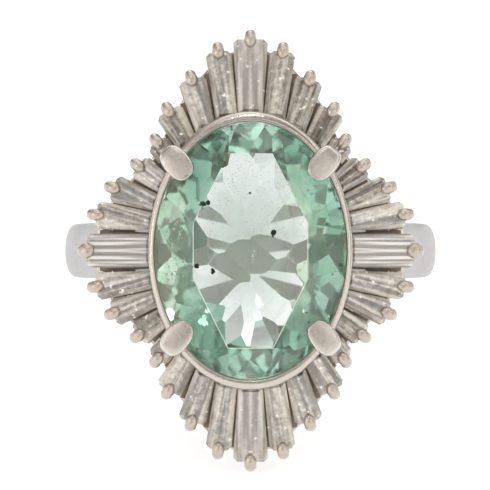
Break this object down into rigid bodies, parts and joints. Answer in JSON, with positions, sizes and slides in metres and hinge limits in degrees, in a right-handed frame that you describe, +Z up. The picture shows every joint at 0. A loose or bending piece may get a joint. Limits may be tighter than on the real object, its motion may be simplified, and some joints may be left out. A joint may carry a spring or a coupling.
{
  "type": "ballerina ring",
  "caption": "Ballerina ring: an oval green stone in a polished rim with claws, in a sloping skirt of tapered baguettes held by bead prongs, over an open gallery and a domed band.",
  "frame": {"origin": "on the surface that the ring lies on, under the middle of its box", "axes": "+Z up; +X across the head; +Y from the head back to the band's base. The table looks along -Y and up by the lean, and the finger's axis leans back from the upright by as much"},
  "size_m": [0.0194, 0.0247, 0.0207],
  "materials": {
    "white_metal": "polished",
    "green_beryl": "polished",
    "diamond": "polished"
  },
  "bodies": {
    "root": {"mount": "white_metal", "centre_stone": "green_beryl", "baguette_01": "diamond", "baguette_02": "diamond", "baguette_03": "diamond", "baguette_04": "diamond", "baguette_05": "diamond", "baguette_06": "diamond", "baguette_07": "diamond", "baguette_08": "diamond", "baguette_09": "diamond", "baguette_10": "diamond", "baguette_11": "diamond", "baguette_12": "diamond", "baguette_13": "diamond", "baguette_14": "diamond", "baguette_15": "diamond", "baguette_16": "diamond", "baguette_17": "diamond", "baguette_18": "diamond", "baguette_19": "diamond", "baguette_20": "diamond", "baguette_21": "diamond", "baguette_22": "diamond", "baguette_23": "diamond", "baguette_24": "diamond", "baguette_25": "diamond", "baguette_26": "diamond", "baguette_27": "diamond", "baguette_28": "diamond", "baguette_29": "diamond", "baguette_30": "diamond", "baguette_31": "diamond", "baguette_32": "diamond"}
  },
  "joints": []
}
